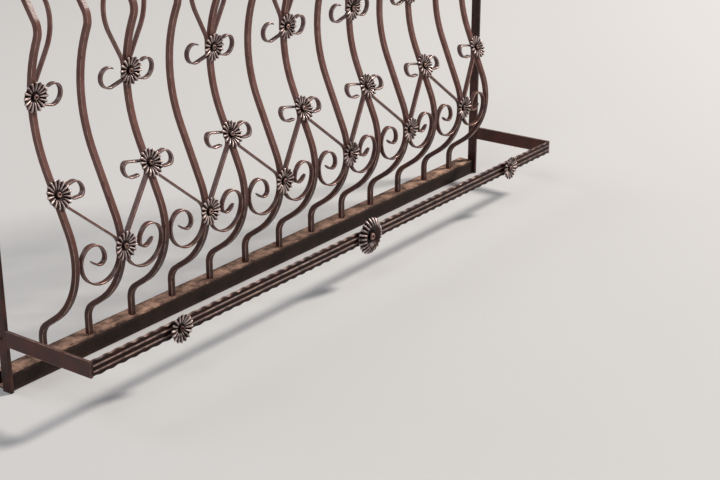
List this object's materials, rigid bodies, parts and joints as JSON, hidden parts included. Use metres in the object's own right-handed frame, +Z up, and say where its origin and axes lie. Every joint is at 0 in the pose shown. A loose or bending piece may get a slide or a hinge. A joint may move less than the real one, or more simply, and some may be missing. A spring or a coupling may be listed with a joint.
{
  "type": "juliet balcony",
  "caption": "Bow-fronted wrought iron juliet balcony with scrolls, baskets and ribbed rosettes, and a low guard rail at its foot for flower boxes.",
  "frame": {"origin": "middle of the underside of the bottom rail, in the plane of the rails", "axes": "+X along the wall to the right seen from the street, +Y into the wall opening, -Y to the street, +Z up"},
  "size_m": [1.79, 0.3146, 0.942],
  "materials": {
    "dark_paint": "semi-gloss dark brown paint, worn at the edges",
    "copper_rubbed_paint": "dark brown paint rubbed with copper on the raised parts",
    "weathered_rail": "brown paint, rusty and dusty on its upper face"
  },
  "bodies": {
    "root": {"bottom_rail": "weathered_rail", "top_rail": "dark_paint", "left_end_post": "dark_paint", "right_end_post": "dark_paint", "basket_bars": "dark_paint", "plain_bars": "dark_paint", "left_basket_strips": "dark_paint", "right_basket_strips": "dark_paint", "left_scrolls": "dark_paint", "right_scrolls": "dark_paint", "upper_left_ears": "copper_rubbed_paint", "upper_right_ears": "copper_rubbed_paint", "middle_left_ears": "copper_rubbed_paint", "middle_right_ears": "copper_rubbed_paint", "upper_rosettes": "copper_rubbed_paint", "middle_rosettes": "copper_rubbed_paint", "lower_rosettes": "copper_rubbed_paint", "upper_buttons": "dark_paint", "middle_buttons": "dark_paint", "lower_buttons": "dark_paint", "front_buttons": "dark_paint", "front_rail": "dark_paint", "left_side_arm": "dark_paint", "right_side_arm": "dark_paint", "front_left_rosette": "copper_rubbed_paint", "front_middle_rosette": "copper_rubbed_paint", "front_right_rosette": "copper_rubbed_paint"}
  },
  "joints": []
}
